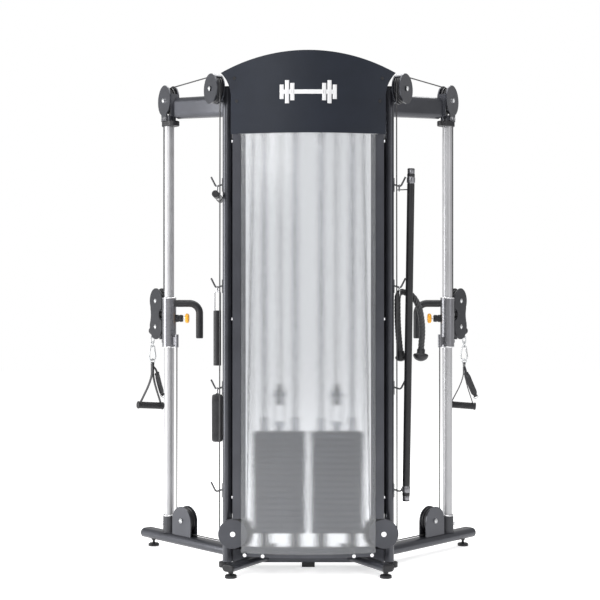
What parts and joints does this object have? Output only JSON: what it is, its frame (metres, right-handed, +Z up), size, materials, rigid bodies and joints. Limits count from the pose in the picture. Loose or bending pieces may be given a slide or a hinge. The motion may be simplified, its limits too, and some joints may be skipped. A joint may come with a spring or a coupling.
{
  "type": "functional trainer",
  "caption": "Free-standing cable machine: shrouded weight tower, angled uprights with sliding pulley carriages, cable handles and stored accessories.",
  "frame": {"origin": "on the floor at the middle of the machine's bounding box", "axes": "+Z up, +X to the right seen from the shrouded front, +Y from the shrouded front to the user's side"},
  "size_m": [1.6162, 0.7948, 2.187],
  "materials": {
    "gunmetal_paint": "satin metallic",
    "header_paint": "satin metallic",
    "silver_tube": "satin plated",
    "polished_rod": "polished",
    "black_rubber": "satin",
    "black_plastic": "moulded",
    "frosted_panel": "frosted translucent",
    "cast_iron_plates": "powder coated",
    "cable_jacket": "smooth jacket over wire rope",
    "webbing": "woven",
    "orange_knob": "moulded",
    "grey_metallic": "metallic",
    "swivel_paint": "flat dark grey"
  },
  "bodies": {
    "frame": {"tower_frame": "gunmetal_paint", "base_frame": "gunmetal_paint", "outer_legs": "gunmetal_paint", "uprights": "silver_tube", "top_arms": "gunmetal_paint", "pulley_brackets": "gunmetal_paint", "shroud_panel": "frosted_panel", "header_panel": "header_paint", "shroud_channels": "gunmetal_paint", "weight_plates": "cast_iron_plates", "guide_rods": "polished_rod", "cables_fixed": "cable_jacket", "storage_hooks": "polished_rod", "long_bar": "black_rubber", "short_bar": "black_rubber", "row_handle": "black_rubber", "ankle_strap": "webbing", "triceps_rope": "webbing", "feet_and_caps": "black_plastic", "frame_bolts": "polished_rod", "cable_upper_line_right": "cable_jacket", "cable_lower_line_right": "cable_jacket", "cable_stack_lines_right": "cable_jacket", "cable_upper_line_left": "cable_jacket", "cable_lower_line_left": "cable_jacket", "cable_stack_lines_left": "cable_jacket"},
    "carriage_right": {"carriage_right": "grey_metallic"},
    "pop_pin_right": {"pop_pin_right": "orange_knob"},
    "swivel_right": {"swivel_block_right": "swivel_paint"},
    "handle_right": {"snap_hook_right": "polished_rod", "strap_handle_right": "webbing"},
    "selector_head_right": {"selector_head_right": "cast_iron_plates"},
    "selector_pin_right": {"selector_pin_right": "polished_rod"},
    "top_outer_wheel_right": {"top_outer_wheel_right": "black_plastic"},
    "top_inner_wheel_right": {"top_inner_wheel_right": "black_plastic"},
    "tower_wheel_right": {"tower_wheel_right": "black_plastic"},
    "header_front_wheel_right": {"header_front_wheel_right": "black_plastic"},
    "header_rear_wheel_right": {"header_rear_wheel_right": "black_plastic"},
    "base_wheel_right": {"base_wheel_right": "black_plastic"},
    "leg_wheel_right": {"leg_wheel_right": "black_plastic"},
    "travelling_wheel_right": {"travelling_wheel_right": "black_plastic"},
    "swivel_upper_wheel_right": {"swivel_upper_wheel_right": "black_plastic"},
    "swivel_lower_wheel_right": {"swivel_lower_wheel_right": "black_plastic"},
    "carriage_left": {"carriage_left": "grey_metallic"},
    "pop_pin_left": {"pop_pin_left": "orange_knob"},
    "swivel_left": {"swivel_block_left": "swivel_paint"},
    "handle_left": {"snap_hook_left": "polished_rod", "strap_handle_left": "webbing"},
    "selector_head_left": {"selector_head_left": "cast_iron_plates"},
    "selector_pin_left": {"selector_pin_left": "polished_rod"},
    "top_outer_wheel_left": {"top_outer_wheel_left": "black_plastic"},
    "top_inner_wheel_left": {"top_inner_wheel_left": "black_plastic"},
    "tower_wheel_left": {"tower_wheel_left": "black_plastic"},
    "header_front_wheel_left": {"header_front_wheel_left": "black_plastic"},
    "header_rear_wheel_left": {"header_rear_wheel_left": "black_plastic"},
    "base_wheel_left": {"base_wheel_left": "black_plastic"},
    "leg_wheel_left": {"leg_wheel_left": "black_plastic"},
    "travelling_wheel_left": {"travelling_wheel_left": "black_plastic"},
    "swivel_upper_wheel_left": {"swivel_upper_wheel_left": "black_plastic"},
    "swivel_lower_wheel_left": {"swivel_lower_wheel_left": "black_plastic"}
  },
  "joints": [
    {"name": "carriage_slide_right", "type": "slide", "parent": "frame", "child": "carriage_right", "axis": [0, 0, 1], "range_m": [-0.39, 0.7], "deforming": ["cable_upper_line_right", "cable_lower_line_right"]},
    {"name": "pop_pin_pull_right", "type": "slide", "parent": "carriage_right", "child": "pop_pin_right", "axis": [-1, 0, 0], "range_m": [0, 0.012], "stiffness_N_per_m": 800, "springref_m": -0.005},
    {"name": "swivel_turn_right", "type": "hinge", "parent": "carriage_right", "child": "swivel_right", "pos_m": [0.67343, 0.26127, 1.082], "axis": [0, 0, 1], "range_deg": [-90, 90]},
    {"name": "handle_swing_right", "type": "hinge", "parent": "swivel_right", "child": "handle_right", "pos_m": [0.73882, 0.35465, 0.973], "axis": [0, 1, 0], "range_deg": [-20, 20]},
    {"name": "selector_head_lift_right", "type": "slide", "parent": "frame", "child": "selector_head_right", "axis": [0, 0, 1], "range_m": [0, 1.05], "deforming": ["cable_stack_lines_right"]},
    {"name": "selector_pin_pull_right", "type": "slide", "parent": "selector_head_right", "child": "selector_pin_right", "axis": [0, 1, 0], "range_m": [0, 0.1]},
    {"name": "top_outer_wheel_spin_right", "type": "hinge", "parent": "frame", "child": "top_outer_wheel_right", "pos_m": [0.64545, 0.21161, 2.069], "axis": [0.8712, -0.4909, 0], "continuous": true},
    {"name": "top_inner_wheel_spin_right", "type": "hinge", "parent": "frame", "child": "top_inner_wheel_right", "pos_m": [0.4, -0.224, 2.048], "axis": [0.8712, -0.4909, 0], "continuous": true},
    {"name": "tower_wheel_spin_right", "type": "hinge", "parent": "frame", "child": "tower_wheel_right", "pos_m": [0.317, -0.276, 0.168], "axis": [0, 1, 0], "continuous": true},
    {"name": "header_front_wheel_spin_right", "type": "hinge", "parent": "frame", "child": "header_front_wheel_right", "pos_m": [0.18, -0.176, 1.95], "axis": [0, 1, 0], "continuous": true},
    {"name": "header_rear_wheel_spin_right", "type": "hinge", "parent": "frame", "child": "header_rear_wheel_right", "pos_m": [0.18, -0.086, 1.95], "axis": [0, 1, 0], "continuous": true},
    {"name": "base_wheel_spin_right", "type": "hinge", "parent": "frame", "child": "base_wheel_right", "pos_m": [0.28537, -0.14245, 0.147], "axis": [0.7009, -0.7133, 0], "continuous": true},
    {"name": "leg_wheel_spin_right", "type": "hinge", "parent": "frame", "child": "leg_wheel_right", "pos_m": [0.56212, 0.1295, 0.147], "axis": [0.7009, -0.7133, 0], "continuous": true},
    {"name": "travelling_wheel_spin_right", "type": "hinge", "parent": "selector_head_right", "child": "travelling_wheel_right", "pos_m": [0.123, -0.131, 0.74], "axis": [1, 0, 0], "continuous": true},
    {"name": "swivel_upper_wheel_spin_right", "type": "hinge", "parent": "swivel_right", "child": "swivel_upper_wheel_right", "pos_m": [0.70154, 0.3014, 1.146], "axis": [0.8192, -0.5736, 0], "continuous": true},
    {"name": "swivel_lower_wheel_spin_right", "type": "hinge", "parent": "swivel_right", "child": "swivel_lower_wheel_right", "pos_m": [0.70154, 0.3014, 1.025], "axis": [0.8192, -0.5736, 0], "continuous": true},
    {"name": "carriage_slide_left", "type": "slide", "parent": "frame", "child": "carriage_left", "axis": [0, 0, 1], "range_m": [-0.39, 0.7], "deforming": ["cable_upper_line_left", "cable_lower_line_left"]},
    {"name": "pop_pin_pull_left", "type": "slide", "parent": "carriage_left", "child": "pop_pin_left", "axis": [1, 0, 0], "range_m": [0, 0.012], "stiffness_N_per_m": 800, "springref_m": -0.005},
    {"name": "swivel_turn_left", "type": "hinge", "parent": "carriage_left", "child": "swivel_left", "pos_m": [-0.67343, 0.26127, 1.082], "axis": [0, 0, 1], "range_deg": [-90, 90]},
    {"name": "handle_swing_left", "type": "hinge", "parent": "swivel_left", "child": "handle_left", "pos_m": [-0.73882, 0.35465, 0.973], "axis": [0, 1, 0], "range_deg": [-20, 20]},
    {"name": "selector_head_lift_left", "type": "slide", "parent": "frame", "child": "selector_head_left", "axis": [0, 0, 1], "range_m": [0, 1.05], "deforming": ["cable_stack_lines_left"]},
    {"name": "selector_pin_pull_left", "type": "slide", "parent": "selector_head_left", "child": "selector_pin_left", "axis": [0, 1, 0], "range_m": [0, 0.1]},
    {"name": "top_outer_wheel_spin_left", "type": "hinge", "parent": "frame", "child": "top_outer_wheel_left", "pos_m": [-0.64545, 0.21161, 2.069], "axis": [-0.8712, -0.4909, 0], "continuous": true},
    {"name": "top_inner_wheel_spin_left", "type": "hinge", "parent": "frame", "child": "top_inner_wheel_left", "pos_m": [-0.4, -0.224, 2.048], "axis": [-0.8712, -0.4909, 0], "continuous": true},
    {"name": "tower_wheel_spin_left", "type": "hinge", "parent": "frame", "child": "tower_wheel_left", "pos_m": [-0.317, -0.276, 0.168], "axis": [0, 1, 0], "continuous": true},
    {"name": "header_front_wheel_spin_left", "type": "hinge", "parent": "frame", "child": "header_front_wheel_left", "pos_m": [-0.18, -0.176, 1.95], "axis": [0, 1, 0], "continuous": true},
    {"name": "header_rear_wheel_spin_left", "type": "hinge", "parent": "frame", "child": "header_rear_wheel_left", "pos_m": [-0.18, -0.086, 1.95], "axis": [0, 1, 0], "continuous": true},
    {"name": "base_wheel_spin_left", "type": "hinge", "parent": "frame", "child": "base_wheel_left", "pos_m": [-0.28537, -0.14245, 0.147], "axis": [-0.7009, -0.7133, 0], "continuous": true},
    {"name": "leg_wheel_spin_left", "type": "hinge", "parent": "frame", "child": "leg_wheel_left", "pos_m": [-0.56212, 0.1295, 0.147], "axis": [-0.7009, -0.7133, 0], "continuous": true},
    {"name": "travelling_wheel_spin_left", "type": "hinge", "parent": "selector_head_left", "child": "travelling_wheel_left", "pos_m": [-0.123, -0.131, 0.74], "axis": [-1, 0, 0], "continuous": true},
    {"name": "swivel_upper_wheel_spin_left", "type": "hinge", "parent": "swivel_left", "child": "swivel_upper_wheel_left", "pos_m": [-0.70154, 0.3014, 1.146], "axis": [-0.8192, -0.5736, 0], "continuous": true},
    {"name": "swivel_lower_wheel_spin_left", "type": "hinge", "parent": "swivel_left", "child": "swivel_lower_wheel_left", "pos_m": [-0.70154, 0.3014, 1.025], "axis": [-0.8192, -0.5736, 0], "continuous": true}
  ],
  "couplings": [
    {"joint": "top_outer_wheel_spin_right", "follows": "carriage_slide_right", "rad_per_m": 17.544},
    {"joint": "top_inner_wheel_spin_right", "follows": "carriage_slide_right", "rad_per_m": 17.544},
    {"joint": "tower_wheel_spin_right", "follows": "carriage_slide_right", "rad_per_m": 17.544},
    {"joint": "header_front_wheel_spin_right", "follows": "carriage_slide_right", "rad_per_m": -17.544},
    {"joint": "header_rear_wheel_spin_right", "follows": "carriage_slide_right", "rad_per_m": 17.544},
    {"joint": "base_wheel_spin_right", "follows": "carriage_slide_right", "rad_per_m": 17.544},
    {"joint": "leg_wheel_spin_right", "follows": "carriage_slide_right", "rad_per_m": 17.544},
    {"joint": "travelling_wheel_spin_right", "follows": "carriage_slide_right", "rad_per_m": 22.222},
    {"joint": "top_outer_wheel_spin_left", "follows": "carriage_slide_left", "rad_per_m": -17.544},
    {"joint": "top_inner_wheel_spin_left", "follows": "carriage_slide_left", "rad_per_m": -17.544},
    {"joint": "tower_wheel_spin_left", "follows": "carriage_slide_left", "rad_per_m": -17.544},
    {"joint": "header_front_wheel_spin_left", "follows": "carriage_slide_left", "rad_per_m": 17.544},
    {"joint": "header_rear_wheel_spin_left", "follows": "carriage_slide_left", "rad_per_m": -17.544},
    {"joint": "base_wheel_spin_left", "follows": "carriage_slide_left", "rad_per_m": -17.544},
    {"joint": "leg_wheel_spin_left", "follows": "carriage_slide_left", "rad_per_m": -17.544},
    {"joint": "travelling_wheel_spin_left", "follows": "carriage_slide_left", "rad_per_m": -22.222}
  ]
}
